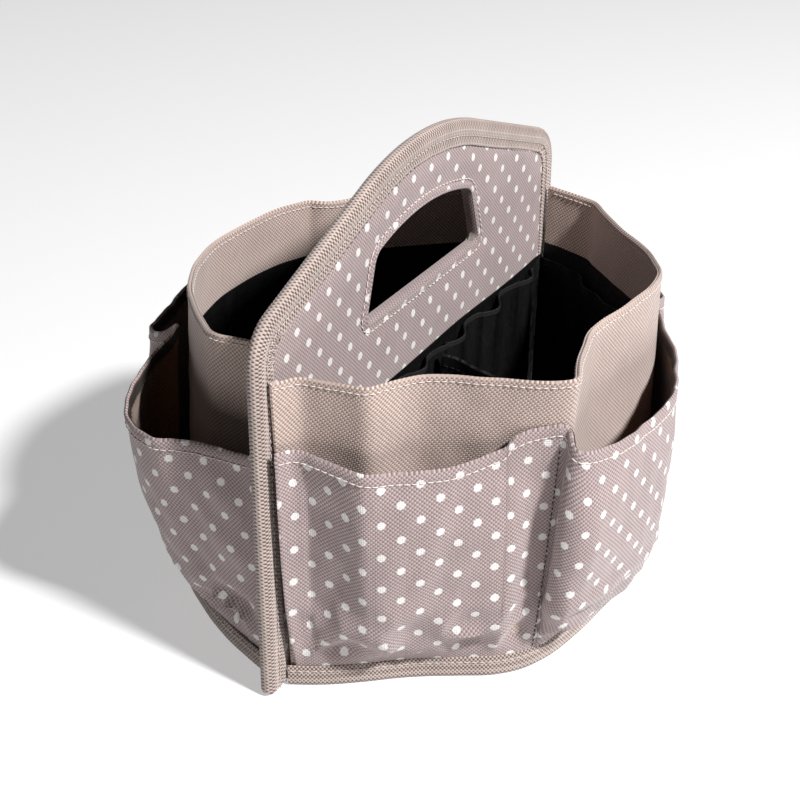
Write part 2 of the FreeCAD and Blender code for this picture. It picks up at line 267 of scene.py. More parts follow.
def sew(side, name, rows, material, slot, pitch=3.0, length=2.1, radius=0.28, lift=0.12):
    """Sewing thread: short raised stitches along lines that lie on the cloth.
    rows holds (points, normals) pairs."""
    verts, faces = [], []
    for points, normals in rows:
        s = along(points)
        for i in range(int((s[-1] - 1.0) / pitch)):
            at = np.array([0.5 + i * pitch + t * length for t, _, _ in STITCH])
            mid = resample(points, at=at)
            up = unit(np.stack([np.interp(at, s, normals[:, k]) for k in range(3)], 1))
            way = unit(np.gradient(mid, axis=0))
            base = len(verts)
            for p, u, w, (_, fat, rise) in zip(mid, up, unit(np.cross(way, up)), STITCH):
                centre = p + u * (lift + rise * radius)
                for k in range(THREAD_SIDES):
                    a = 2 * math.pi * k / THREAD_SIDES
                    spoke = math.cos(a) * w + THREAD_FLATNESS * math.sin(a) * u
                    verts.append(centre + radius * fat * spoke)
            rings = [[base + r * THREAD_SIDES + k for k in range(THREAD_SIDES)]
                     for r in range(len(STITCH))]
            for a, b in zip(rings, rings[1:]):
                for k in range(THREAD_SIDES):
                    m = (k + 1) % THREAD_SIDES
                    faces.append([a[k], a[m], b[m], b[k]])
            faces += [rings[0], rings[-1][::-1]]
    uvs = [(0.0, 0.0)] * sum(len(f) for f in faces)
    obj = make(name, verts, faces, uvs, [material])
    tidy_normals(obj)
    return keep(obj, side, slot)


def on_grid(grid, row_level, face=1.0):
    """A line across a sheet at a row level (a number, or one per column), and its normals."""
    rows, count = grid.shape[:2]
    level = np.clip(np.broadcast_to(np.asarray(row_level, float), (count,)), 0, rows - 1.001)
    low, every = np.floor(level).astype(int), np.arange(count)
    part = (level - low)[:, None]
    points, normals = (g[low, every] * (1 - part) + g[low + 1, every] * part
                       for g in (grid, grid_normals(grid)))
    return points, unit(normals) * face


def below_top(grid, depth):
    """The row level that lies depth mm under a sheet's top edge, one per column."""
    v = lengths(grid, 0)
    return np.array([np.interp(v[-1, c] - depth, v[:, c], np.arange(len(grid)))
                     for c in range(grid.shape[1])])


def ribbon(grid, low, high):
    """Four rows across a sheet, from one row level to another."""
    shares = np.linspace(0, 1, 4)
    return np.array([on_grid(grid, low + share * (high - low))[0] for share in shares])


# ---- Materials ----

class Finish:
    """A procedural material on the cloth coordinates, which are in millimetres."""

    def __init__(self, name, roughness, sheen=0.0, specular=0.3):
        self.material = bpy.data.materials.new(name)
        self.material.use_nodes = True
        self.tree = self.material.node_tree
        self.shader = self.tree.nodes["Principled BSDF"]
        self.shader.inputs["Roughness"].default_value = roughness
        self.shader.inputs["Specular IOR Level"].default_value = specular
        self.shader.inputs["Sheen Weight"].default_value = sheen
        place = self.tree.nodes.new("ShaderNodeUVMap")
        place.uv_map = "cloth"
        split = self.tree.nodes.new("ShaderNodeSeparateXYZ")
        self.tree.links.new(place.outputs[0], split.inputs[0])
        self.uv = place.outputs[0]
        self.u, self.v = split.outputs[0], split.outputs[1]

    def put(self, socket, value):
        if hasattr(value, "is_linked"):
            self.tree.links.new(value, socket)
        else:
            socket.default_value = value

    def maths(self, what, *values):
        node = self.tree.nodes.new("ShaderNodeMath")
        node.operation = what
        for socket, value in zip(node.inputs, values):
            self.put(socket, value)
        return node.outputs[0]

    def between(self, value, low, high, new_low=0.0, new_high=1.0):
        node = self.tree.nodes.new("ShaderNodeMapRange")
        node.interpolation_type = "SMOOTHSTEP"
        for name, x in (("Value", value), ("From Min", low), ("From Max", high),
                        ("To Min", new_low), ("To Max", new_high)):
            self.put(node.inputs[name], x)
        return node.outputs[0]

    def mix(self, share, a, b):
        node = self.tree.nodes.new("ShaderNodeMix")
        node.data_type = "RGBA"
        self.put(node.inputs[0], share)
        for socket, value in ((node.inputs[6], a), (node.inputs[7], b)):
            self.put(socket, value if hasattr(value, "is_linked") else (*value, 1.0))
        return node.outputs[2]

    def noise(self, scale, detail=2.0, stretch=(1, 1, 1), rough=0.5):
        spread = self.tree.nodes.new("ShaderNodeVectorMath")
        spread.operation = "MULTIPLY"
        self.tree.links.new(self.uv, spread.inputs[0])
        spread.inputs[1].default_value = stretch
        node = self.tree.nodes.new("ShaderNodeTexNoise")
        self.tree.links.new(spread.outputs[0], node.inputs["Vector"])
        node.inputs["Scale"].default_value = scale
        node.inputs["Detail"].default_value = detail
        node.inputs["Roughness"].default_value = rough
        return node.outputs["Fac"]

    def wave(self, along_what, cell, shift=0.0):
        return self.maths("SINE", self.maths("MULTIPLY_ADD", along_what, math.pi / cell, shift))

    def weave(self, cell):
        """(-1 to 1 over and under, 0 to 1 height of the yarns) of a plain weave."""
        over = self.maths("MULTIPLY", self.wave(self.u, cell), self.wave(self.v, cell))
        return over, self.maths("ABSOLUTE", over)

    def bump(self, height, distance, strength=1.0):
        node = self.tree.nodes.new("ShaderNodeBump")
        node.inputs["Distance"].default_value = distance * MM
        node.inputs["Strength"].default_value = strength
        self.put(node.inputs["Height"], height)
        self.tree.links.new(node.outputs[0], self.shader.inputs["Normal"])

    def colour(self, value):
        self.put(self.shader.inputs["Base Color"], value)

    def roughness(self, value):
        self.put(self.shader.inputs["Roughness"], value)


OXFORD_YARN, NYLON_YARN = 0.9, 0.35


def oxford(name, light, dark, dots=None):
    """Coarse polyester weave: lighter where one yarn is on top, darker where the other is.
    dots is the print's (pitch, dot radius, colour)."""
    f = Finish(name, 0.72, sheen=0.25, specular=0.25)
    over, height = f.weave(OXFORD_YARN)
    share = f.between(over, -0.75, 0.75)
    cloth = f.mix(share, dark, light)
    patchy = f.between(f.noise(0.035, 3), 0.3, 0.7, 0.94, 1.05)
    yarns = f.between(f.noise(1.1, 2, (1, 0.12, 1)), 0.3, 0.7, 0.95, 1.05)
    tone = f.maths("MULTIPLY", patchy, yarns)
    cloth = shaded(f, cloth, tone)
    if dots:
        pitch, radius, white = dots
        near = []
        for shift in (0.0, 0.5):
            parts = []
            for axis in (f.u, f.v):
                x = f.maths("MULTIPLY_ADD", axis, 1 / pitch, shift)
                x = f.maths("SUBTRACT", f.maths("FRACT", x), 0.5)
                parts.append(f.maths("MULTIPLY", x, x))
            near.append(f.maths("SQRT", f.maths("ADD", *parts)))
        away = f.maths("MULTIPLY", f.maths("MINIMUM", *near), pitch)
        ragged = f.maths("MULTIPLY_ADD", over, -0.1, away)
        ink = f.between(ragged, radius - 0.25, radius + 0.25, 1.0, 0.0)
        ink = f.maths("MULTIPLY", ink, f.between(over, -1.0, 0.2, 0.78, 1.0))
        cloth = f.mix(ink, cloth, white)
    f.colour(cloth)
    f.roughness(f.between(over, -1, 1, 0.8, 0.66))
    f.bump(f.maths("MULTIPLY_ADD", f.noise(0.12, 2), 0.8, height), 0.22, 0.55)
    return f.material


def shaded(f, colour, tone):
    """colour times tone, where tone is about one."""
    node = f.tree.nodes.new("ShaderNodeVectorMath")
    node.operation = "SCALE"
    f.put(node.inputs[0], colour)
    f.put(node.inputs["Scale"], tone)
    return node.outputs[0]


def tape_finish(name, light, dark, cell=0.82, sheen=0.2):
    """Webbing: rows of small raised diamonds with dark gaps between them; the dark of the gaps is
    painted shade.
    """
    f = Finish(name, 0.7, sheen=sheen)
    over = f.maths("MULTIPLY", f.wave(f.u, cell), f.wave(f.v, 1.15 * cell))
    over = f.maths("MULTIPLY_ADD", f.wave(f.v, 2.3 * cell, 0.6), 0.25, over)
    # Painted shade: dark where the weave sinks between the raised diamonds.
    share = f.between(over, -0.7, 0.35)
    cloth = f.mix(share, dark, light)
    tone = f.between(f.noise(0.08, 3), 0.3, 0.7, 0.92, 1.06)
    f.colour(shaded(f, cloth, tone))
    f.bump(f.maths("MULTIPLY_ADD", over, 0.5, 0.5), 0.3, 0.8)
    return f.material


def nylon(name, colour, roughness=0.42, crease=1.0):
    """Thin shiny lining with fine ribs and many small creases, which are also painted into its
    colour as painted shade and painted highlights.
    """
    f = Finish(name, roughness, specular=0.16)
    over, height = f.weave(NYLON_YARN)
    creases = f.noise(0.09, 4, (1.6, 0.35, 1), 0.62)
    # Painted light and shade: the colour darkens and lightens with the creases.
    tone = f.between(creases, 0.3, 0.72, 0.7, 1.45)
    f.colour(shaded(f, f.mix(f.between(over, -1, 1), colour, [1.25 * c for c in colour]), tone))
    f.roughness(f.between(f.noise(0.3, 2), 0.3, 0.7, roughness - 0.07, roughness + 0.1))
    f.bump(f.maths("MULTIPLY_ADD", creases, 9.0 * crease, height), 0.16, 0.9)
    return f.material


def thread_finish(name, colour):
    f = Finish(name, 0.6, sheen=0.3)
    f.colour(f.mix(f.noise(0.8, 2), colour, [0.85 * c for c in colour]))
    return f.material


def board_finish(name, colour):
    """Pressed board: speckled, with long faint fibres."""
    f = Finish(name, 0.7, specular=0.3)
    place = f.tree.nodes.new("ShaderNodeTexCoord")
    f.uv = place.outputs["Object"]
    specks = f.noise(900.0, 3)
    fibres = f.noise(160.0, 3, (1, 0.2, 1))
    tone = f.between(f.maths("ADD", specks, fibres), 0.7, 1.3, 0.75, 1.25)
    f.colour(shaded(f, f.mix(specks, colour, [1.3 * c for c in colour]), tone))
    f.bump(specks, 0.12, 0.5)
    return f.material


MAUVE = (0.42, 0.335, 0.33), (0.18, 0.132, 0.128)
DOTTED = oxford("dotted_oxford", *MAUVE, dots=(14.6, 1.68, (0.68, 0.655, 0.64)))
TURNED = oxford("turned_oxford", *MAUVE)
PLAIN = oxford("plain_oxford", (0.56, 0.445, 0.40), (0.23, 0.165, 0.14))
COATED = oxford("coated_back", (0.20, 0.088, 0.038), (0.12, 0.047, 0.017))
# The darker colour of each webbing and tape is painted shade for the gaps between its diamonds.
WEBBING = tape_finish("diamond_webbing", (0.455, 0.37, 0.335), (0.085, 0.055, 0.043))
LINING = nylon("black_nylon", (0.002, 0.002, 0.0023), 0.48)
TAPE = tape_finish("dark_tape", (0.045, 0.036, 0.033), (0.015, 0.012, 0.011), cell=0.5, sheen=0.0)
ELASTIC = tape_finish("elastic_edge", (0.010, 0.010, 0.010), (0.003, 0.003, 0.003), cell=0.5,
                      sheen=0.0)
THREAD = thread_finish("light_thread", (0.70, 0.61, 0.57))
WEBBING_THREAD = thread_finish("webbing_thread", (0.50, 0.43, 0.405))
DARK_THREAD = thread_finish("dark_thread", (0.03, 0.025, 0.024))
BOARD = nylon("board_wrap", (0.005, 0.005, 0.005), 0.5, 0.4)
FIBRE = board_finish("grey_board", (0.20, 0.18, 0.16))


# ---- Outlines, in plan, of what the cloth does between its seams ----

# Edge of the bottom, and the wall's rim with its height

BASE_LINE = {
    FRONT: [(-114.5, -4), (-111, -11), (-105, -21), (-98, -30.5), (-91, -39), (-84, -49),
        (-77, -60.5), (-70, -72), (-61, -80.5), (-50, -86), (-35, -89.5), (-10, -93), (12, -94.5),
        (34, -93.5), (50, -89), (63, -82), (80, -69), (95, -52), (106, -33), (112, -16),
        (115, -4)],
    REAR: [(-114.5, 4), (-111.5, 12), (-108, 21), (-103, 32), (-95, 46), (-82, 65), (-70, 76.5),
        (-58, 84), (-42, 90), (-20, 94), (0, 95), (20, 94), (42, 90), (58, 84.5), (72, 75.5),
        (86, 62), (98, 46), (107, 28), (113, 12), (115, 4)],
}
RIM_LINE = {
    FRONT: [(-119, -4.5, 137), (-115, -6.8, 136.5), (-110.5, -9.6, 136.5), (-109, -11.6, 136.3),
        (-107.2, -20, 136), (-106, -28, 136), (-105, -33.8, 136), (-103.4, -36, 136),
        (-98, -38.8, 136), (-92, -42, 136), (-86, -47, 136), (-82, -54, 136), (-79, -60, 136),
        (-76.5, -67, 136), (-74, -73, 136), (-71.5, -80, 136), (-68.5, -87, 136),
        (-65.5, -93, 136.2), (-62.6, -96.8, 136.5), (-60, -96.8, 136.2), (-54, -94.6, 136),
        (-46, -92, 136), (-34, -89, 136), (-27, -86.8, 136), (-22, -86, 136), (-15, -86.5, 136),
        (-4, -88, 136), (10, -90, 136), (24, -91.5, 135.8), (38, -89.5, 134.5), (50, -85.5, 133),
        (62, -78, 131.5), (75, -67.5, 130.5), (90, -51.5, 130), (104, -38, 129.8),
        (111.5, -31, 129.6), (113.5, -26, 129.6), (115, -17, 130), (118, -5, 130.5)],
    REAR: [(-117, 4.5, 136), (-108, 9, 136), (-98, 15, 136), (-93.3, 20, 136), (-93.4, 28, 136),
        (-94, 35, 136), (-92.6, 40, 136), (-89, 45, 136), (-82, 53.5, 136), (-74, 61.8, 136),
        (-65, 69.3, 136), (-54, 76, 136), (-43, 81, 136), (-23, 86, 136), (3, 86, 136),
        (21, 82, 136), (29, 79.6, 135.8), (35.5, 78, 135.4), (37.6, 76.8, 135.2),
        (40.2, 72.8, 134.8), (44, 70, 134), (53, 66, 132.8), (62, 61.5, 132), (75, 52.5, 131),
        (95, 34, 130), (109, 18, 130), (117.5, 5, 130.5)],
}
# Hem of the pocket strip: plan and height. It is sewn to the wall at the two seams.
HEM_LINE = {
    FRONT: [(-121.5, -7, 110), (-118, -8.8, 109.7), (-115.6, -10.8, 109.4), (-114, -19, 108.6),
        (-112.9, -27, 107.4), (-112, -36.8, 106.1), (-110.4, -39.6, 105.7), (-104, -47.8, 105),
        (-98, -55.5, 105), (-91, -62.5, 105.2), (-84, -69, 106.4), (-77.5, -74.4, 108.4),
        (-75.3, -76.3, 109.7), (-74.2, -78.2, 113), (-71.2, -82.6, 115.4), (-67.5, -88.5, 117),
        (-64.9, -93.3, 118), (-63.6, -95.6, 117), (-64.9, -98.6, 113.4), (-65.2, -101, 110.6),
        (-61.5, -103.6, 109.4), (-55, -106.2, 108.2), (-44, -110, 107), (-27, -113, 105.5),
        (-10, -113.8, 105), (4, -112, 105), (16, -107.5, 105), (28, -102, 105), (40, -96.5, 105),
        (52, -90, 105.5), (61, -84.5, 107), (64.5, -81, 108.6), (66.5, -77.5, 110.6),
        (68.5, -77, 109.6), (73, -77.2, 107.4), (82, -74, 105.6), (93, -67, 105), (103, -56, 105),
        (111, -42, 105), (116, -27, 106), (119, -14, 107.5), (121, -6, 108.5)],
    REAR: [(-117.5, 4.5, 103), (-116, 10, 101.6), (-116.5, 19, 101), (-117, 30, 101),
        (-118.5, 40, 101), (-120.5, 48, 101), (-118.5, 57, 101.5), (-113, 65, 102),
        (-106, 71, 103), (-94, 77.5, 104), (-80, 81.5, 105.5), (-71, 81.5, 108), (-64.5, 80, 112),
        (-62.5, 78.5, 116), (-60.5, 81.5, 114), (-61, 87, 110), (-57, 93.5, 107.5),
        (-48, 100, 106), (-35, 106, 105), (-18, 110.5, 105), (0, 112, 105), (18, 110.5, 105),
        (35, 106, 105), (48, 100, 106), (57, 92.5, 107.5), (60.5, 85, 110), (60, 79, 114),
        (62.5, 77.5, 112.5), (70, 79.5, 108.5), (80, 78, 106), (93, 70, 105), (104, 57, 104.5),
        (112, 41, 104.5), (117, 24, 105), (119, 11, 107), (119.5, 4.5, 108)],
}
# Where the strip is sewn down
SEAM_AT = {FRONT: [(-64.8, -93.4), (66.5, -77.5)], REAR: [(-62.5, 78.5), (60, 79)]}
WALL_FOOT = POCKET_FOOT = 2.0     # heights above the floor
WALL_COLS, WALL_ROWS = 210, 26
POCKET_COLS, POCKET_ROWS = 340, 34
FOOT_INSET = 2.9                  # from the base line to the foot of the wall


def turned_in(line, distance):
    """A plan outline moved inwards, towards the divider."""
    tangent = unit(np.gradient(line, axis=0))
    normal = np.stack([-tangent[:, 1], tangent[:, 0]], 1)
    if normal[len(line) // 2] @ line[len(line) // 2] > 0:
        normal = -normal
    return line + normal * np.broadcast_to(distance, len(line))[:, None]


def bearing(points, side):
    """Angle in plan about the middle of the divider, from the near end round to the far end."""
    return np.arctan2(side * points[..., 1], -points[..., 0])


def at_bearing(line, side, angles):
    """Points where an outline is crossed at those bearings."""
    known = np.maximum.accumulate(bearing(line, side) + 1e-7 * np.arange(len(line)))
    return np.stack([np.interp(angles, known, line[:, k]) for k in range(line.shape[1])], -1)


class Half:
    """The shapes that the cloth of one half shares."""

    def __init__(self, side):
        self.side = side
        self.name = NAMES[side]
        self.base = smooth(BASE_LINE[side], 400)
        self.rim = smooth(RIM_LINE[side], 600)
        self.foot = turned_in(self.base, FOOT_INSET)

    def wall_at(self, angles, z):
        """The wall's outer face at those bearings and heights."""
        foot = at_bearing(self.foot, self.side, angles)
        rim = at_bearing(self.rim, self.side, angles)
        share = ((z - WALL_FOOT) / (rim[..., 2] - WALL_FOOT))[..., None]
        plan = foot * (1 - share) + rim[..., :2] * share
        return np.concatenate([plan, np.broadcast_to(z, plan.shape[:-1])[..., None]], -1)

    def wall(self):
        """The wall from foot to rim, its columns ordered so that its normals point outwards."""
        rim = resample(self.rim, WALL_COLS)
        foot = at_bearing(self.foot, self.side, bearing(rim, self.side))
        rows = []
        for share in np.linspace(0, 1, WALL_ROWS) ** 0.9:
            plan = foot * (1 - share) + rim[:, :2] * share
            rows.append(np.column_stack([plan, WALL_FOOT + share * (rim[:, 2] - WALL_FOOT)]))
        grid = np.array(rows)
        if self.side == REAR:
            grid = grid[:, ::-1]
        ripple = 0.55 * ripples(grid, 46, 11 + self.side, 2.2)
        ripple += 0.22 * ripples(grid, 15, 5 + self.side, 1.5)
        columns = np.arange(WALL_COLS)
        ends = step(columns, 0, 6) * step(columns[::-1], 0, 6)
        return offset(grid, ripple * step(np.arange(WALL_ROWS), 0, 5)[:, None] * ends)


halves = {side: Half(side) for side in (FRONT, REAR)}

pieces_of = {FRONT: [], REAR: []}


def keep(obj, side, slot, *nodes):
    """Rides the caddy, stands for its CAD nodes, which it hides, and joins the list of its half's
    pieces.
    A piece of the divider has no side. slot is not used."""
    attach(obj, CADDY)
    if nodes:
        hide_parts(*nodes)
    if side:
        pieces_of[side].append(obj)
    return obj


def cloth(side, name, grid, thick, outside, slot, node, flat, held, rests_on, area=None, **how):
    """A sheet of cloth: made and put in its place."""
    piece = keep(shell(name, grid, thick, outside, **how), side, slot, node)


# ---- One half of the cloth ----

WALL_CLOTH, WALL_HEMMED, HEM_DEPTH = 1.15, 1.35, 5.0
FACING_CLOTH, FACING_DEPTH = 0.55, 27.5
INNER_POCKET_BOTTOM, INNER_POCKET_TOP, INNER_POCKETS = 22.0, 96.5, 4
LINING_ROWS, INNER_POCKET_ROWS = 24, 20
POCKET_CLOTH, POCKET_HEMMED = 0.95, 1.5
POCKET_GAP = 1.035                # between the wall and the foot of the pockets
# Share of the strip's height, and there the share of the hem's distance from the wall,
# in a full pocket and in the slack one at the rear half's near end
PROFILE_AT = [0, 0.07, 0.12, 0.2, 0.35, 0.55, 0.8, 1.0]
FULL = [0.0, 0.03, 0.26, 0.52, 0.80, 0.97, 1.03, 1.0]
SLACK = [0.0, 0.03, 0.14, 0.27, 0.48, 0.74, 0.95, 1.0]
NEAR_RIDGE = (-111.5, -37.5)      # where the front half's first pocket turns its corner
# Section of the base webbing, (out, up), from under the bottom round and up its face
BASE_TAPE_HEIGHT = 9.3
BASE_SECTION = np.array([
    (-8.5, 0.15), (-4, 0.05), (-0.4, 0.05), (0.75, 0.3), (1.25, 1.2), (1.35, 3.2), (1.3, 6.2),
    (1.2, 8.4), (0.95, 9.15), (0.45, 9.3), (0.15, 9.0), (0.05, 7.5), (0.05, 3.0), (-0.2, 1.9),
    (-1.2, 1.35), (-8.5, 1.25)])


def build_wall(half):
    """The wall, the plain band inside its rim, its black lining and the flat pockets on it."""
    side, name = half.side, half.name
    wall = half.wall()
    rows, cols = wall.shape[:2]
    width = 0.33 if side == FRONT else 0.315
    across = np.linspace(0, 1, cols)
    hem = np.arange(rows)[:, None] > below_top(wall, HEM_DEPTH)
    cloth(side, name + "_wall_cloth", wall, np.where(hem, WALL_HEMMED, WALL_CLOTH), PLAIN,
          "plain_fabric", name + "_wall", (width + 0.005, 0.135), "stretched",
          [name + "_base_tape"])
    wall_in = offset(wall, -WALL_CLOTH)

    def band(low, high, count):
        """Rows of the wall's inner face between two heights, one of each per column."""
        grid = []
        for share in np.linspace(0, 1, count):
            want = low + share * (high - low)
            level = [np.interp(want[c], wall_in[:, c, 2], np.arange(rows)) for c in range(cols)]
            grid.append(on_grid(wall_in, level)[0])
        return np.array(grid)

    rim_z = wall[-1, :, 2]
    facing_z = rim_z - FACING_DEPTH - 0.7 * np.sin(9 * across)
    facing = band(facing_z, rim_z - 0.2, 9)
    cloth(side, name + "_rim_facing", facing, FACING_CLOTH, PLAIN, "plain_fabric",
          name + "_wall_top_facing", (width, 0.028), "stretched", [name + "_wall_cloth"],
          shift=(4, 2))

    lining = band(np.full(cols, 2.6), facing_z + 0.8, LINING_ROWS)
    level = np.arange(LINING_ROWS)[:, None]
    drape = 1.1 * np.abs(ripples(lining, 19, 31 + side, 5.0))
    drape *= step(level, 0, 5) * step(level[::-1], 0, 4)
    cloth(side, name + "_wall_lining_cloth", offset(lining, -0.45 - drape), 0.4, LINING,
          "black_lining", name + "_wall_lining", (width, 0.107), "hung", [name + "_rim_facing"])

    top_z = INNER_POCKET_TOP + 0.9 * np.sin(14 * across + side)
    pockets = band(np.full(cols, INNER_POCKET_BOTTOM), top_z, INNER_POCKET_ROWS)
    swell = np.abs(np.sin(across * INNER_POCKETS * math.pi)) ** 0.6
    swell = swell * (np.linspace(0, 1, INNER_POCKET_ROWS) ** 0.7)[:, None]
    folds = 1.0 + 0.35 * ripples(pockets, 17, 71 + side, 4.0)
    pockets = offset(pockets, -2.6 - 3.2 * swell * folds)
    cloth(side, name + "_inner_pocket_cloth", pockets, 0.6, LINING, "black_lining",
          name + "_inner_pockets", (width, 0.075), "hung", [name + "_wall_lining_cloth"])

    # Thread round the rim, on both faces, and in the pockets' hem
    rim_rows = [on_grid(offset(wall, 0.72), below_top(wall, 1.9)),
                on_grid(offset(facing, -0.28), below_top(facing, 1.8), -1.0)]
    sew(side, name + "_rim_thread", rim_rows, THREAD, "plain_fabric", pitch=2.8, radius=0.24)
    hem_row = on_grid(offset(pockets, -0.3), INNER_POCKET_ROWS - 1.6, -1.0)
    sew(side, name + "_inner_pocket_thread", [hem_row], ELASTIC, "black_lining", radius=0.22)


def build_pockets(half):
    """The strip of dotted cloth sewn down into three pockets, its hem tape and its thread."""
    side, name = half.side, half.name
    hem_line = smooth(HEM_LINE[side], POCKET_COLS)
    angles = bearing(hem_line, side)
    lean = hem_line - half.wall_at(angles, hem_line[:, 2])
    lean[:, 2] = 0
    foot = at_bearing(half.foot, side, angles)
    away = POCKET_GAP * unit(np.column_stack([foot, np.zeros(len(foot))]))
    slim = step(-hem_line[:, 0], 55, 85) * (side == REAR)
    shares = np.linspace(0, 1, POCKET_ROWS)
    rows = []
    for share in shares:
        on_wall = half.wall_at(angles, POCKET_FOOT + share * (hem_line[:, 2] - POCKET_FOOT))
        full, slack = (np.interp(share, PROFILE_AT, profile) for profile in (FULL, SLACK))
        swell = full * (1 - slim) + slack * slim
        rows.append(on_wall + lean * swell[:, None] + away * (1 - share))
    strip = np.array(rows)

    def column_at(place):
        return int(np.argmin(np.linalg.norm(hem_line[:, :2] - np.array(place), axis=1)))

    last = POCKET_COLS - 1
    seams = [column_at(place) for place in SEAM_AT[side]]
    if side == REAR:
        strip = strip[:, ::-1]
        seams = [last - s for s in seams][::-1]
    columns = np.arange(POCKET_COLS)
    from_seam = np.min([np.abs(columns - s) for s in seams + [0, last]], axis=0)
    loose = step(from_seam, 1, 13) * step(np.arange(POCKET_ROWS), 0, 8)[:, None]

    # Wrinkles, and the slump where the cloth is crushed on the base
    high = shares[:, None]
    ripple = 1.3 * ripples(strip, 42, 3 + side, 2.4) + 0.42 * ripples(strip, 14, 9 + side, 1.8)
    crush = np.abs(ripples(strip, 36, 29 + side, 0.8))
    ripple += 5.4 * (0.45 - crush) * step(high, 0.09, 0.16) * (1 - step(high, 0.25, 0.5))

    # A fold on the far side of each seam and a ridge on its near side
    u = flat_pattern(strip, POCKET_COLS // 2)[..., 0]
    bell = step(high, 0.06, 0.38) * (1 - 0.75 * step(high, 0.7, 1.0))
    for s in seams:
        fullness = 0.45 if side == FRONT and s == seams[-1] else 1.0
        far = u - u[:, s:s + 1]
        fold = 8.0 * np.exp(-((far - 9) / np.where(far < 9, 4.4, 17)) ** 2)
        ridge = 3.8 * np.exp(-((far + 17) / np.where(far < -17, 15, 6.5)) ** 2)
        strip = offset(strip, fullness * bell * (fold + ridge) * loose)
    if side == FRONT:
        ridge = column_at(NEAR_RIDGE)
        far = u - u[:, ridge:ridge + 1]
        turn = np.where(far < 0, np.interp(far, [-30, -23, 0], [0, -2.5, 4.5]),
                        4.5 * np.exp(-(far / 15) ** 2))
        turn = turn * step(high, 0.07, 0.25) * (1 - 0.7 * step(high, 0.8, 1.0))
        strip = offset(strip, turn * loose)
    cut = strip
    strip = offset(strip, ripple * loose)
    hem = np.arange(POCKET_ROWS)[:, None] > below_top(strip, HEM_DEPTH)
    cloth(side, name + "_outer_pocket_cloth", strip, np.where(hem, POCKET_HEMMED, POCKET_CLOTH),
          DOTTED, "dotted_fabric", name + "_outer_pockets", (0.415, 0.105), "gathered",
          [name + "_wall_cloth", name + "_base_tape"], inside=COATED, patches=seams, sharp=50,
          cut=cut)

    tape = ribbon(offset(strip, -1.05), below_top(strip, 5.4), below_top(strip, 0.4))
    cloth(side, name + "_hem_tape", tape, 0.5, TAPE, "edge_tape", name + "_pocket_hem_tape",
          (0.415, 0.010), "gathered", [name + "_outer_pocket_cloth"], area=0.0021)
    sew(side, name + "_hem_thread", [on_grid(offset(strip, 0.66), below_top(strip, 4.1))],
        THREAD, "dotted_fabric", pitch=2.9, length=2.5, radius=0.26)
    sew(side, name + "_hem_thread_inside",
        [on_grid(offset(strip, -1.3), below_top(strip, 4.4), -1.0)], DARK_THREAD, "edge_tape",
        pitch=2.9, radius=0.22)
    # Thread down each seam: real stitches, coloured dark as painted shade of the small stitch
    # holes.
    lines, normals = offset(strip, 0.5)[:-2], grid_normals(strip)[:-2]
    sew(side, name + "_seam_thread", [(lines[:, s], normals[:, s]) for s in seams], DARK_THREAD,
        "dotted_fabric", pitch=2.6, length=1.5, radius=0.3)


def build_base(half):
    """Webbing round the base, and the bottom with its lining."""
    side, name = half.side, half.name
    line = resample(half.base, 300)
    wobble = 0.5 * field(line[:, 0], line[:, 1], 30, 41 + side)
    path = np.column_stack([turned_in(line, 1.2 - 0.35 * wobble), np.zeros(len(line))])
    flat = unit(np.gradient(path, axis=0))
    out = np.column_stack([flat[:, 1], -flat[:, 0], np.zeros(len(flat))])
    if out[len(out) // 2] @ path[len(path) // 2] < 0:
        out = -out
    up = np.tile([0.0, 0.0, 1.0], (len(path), 1))
    stretch = 1 + 0.35 * field(line[:, 0], line[:, 1], 22, 17 + side) / BASE_TAPE_HEIGHT
    sections = np.repeat(BASE_SECTION[None], len(path), 0)
    sections[..., 1] *= np.where(sections[..., 1] > 2.5, stretch[:, None], 1)
    piece = keep(sweep(name + "_base_tape", path, out, up, sections, WEBBING), side, "webbing",
                 name + "_base_binding")
    row = path + out * 1.28 + up * 7.2
    sew(side, name + "_base_thread", [(row, out)], WEBBING_THREAD, "webbing", radius=0.26)

    def bottom(height, inset, start):
        """A half oval that starts at y = start and ends inset from the base line."""
        edge = resample(turned_in(half.base, inset), 120)
        x, reach = edge[:, 0], np.maximum(side * edge[:, 1], start) - start
        rings = []
        for share in np.linspace(0, 1, 16):
            y = side * (start + reach * share)
            sag = 0.0375 * field(x, y, 40, 19 + side)
            rings.append(np.column_stack([x, y, height + sag]))
        grid = np.array(rings)
        return grid[:, ::-1] if side == FRONT else grid

    cloth(side, name + "_bottom_cloth", bottom(1.75, 2.2, 2.3), 0.7, PLAIN, "plain_fabric",
          name + "_bottom_cover", (0.23, 0.093), "stretched", [name + "_base_tape"], area=0.0166)
    cloth(side, name + "_bottom_lining_cloth", bottom(2.35, 5.5, 4.4), 0.3, LINING,
          "black_lining", name + "_bottom_lining", (0.224, 0.088), "laid",
          [name + "_bottom_cloth"], area=0.0152)


for side in (FRONT, REAR):
    build_wall(halves[side])
    build_pockets(halves[side])
    build_base(halves[side])


# ---- Divider ----

DIVIDER_WIDTH, DIVIDER_HEIGHT, CROWN_WIDTH = 250.0, 193.0, 90.0
SHOULDER_SLOPE, SHOULDER_RADIUS = math.radians(20.0), 20.0
HOLE_BOTTOM, HOLE_SIDE_TOP, HOLE_ARCH = 129.0, 156.0, 7.0
HOLE_HALF_WIDTH, HOLE_HALF_TOP = 48.5, 40.0
HOLE_CENTRE = np.array([0.0, 147.0])
COVER_FACE, COVER_BACK = 2.0, 1.25          # distances of the cloth from the middle plane
COVER_INSET = 8.0                           # from the divider's edge to the edge of the cloth


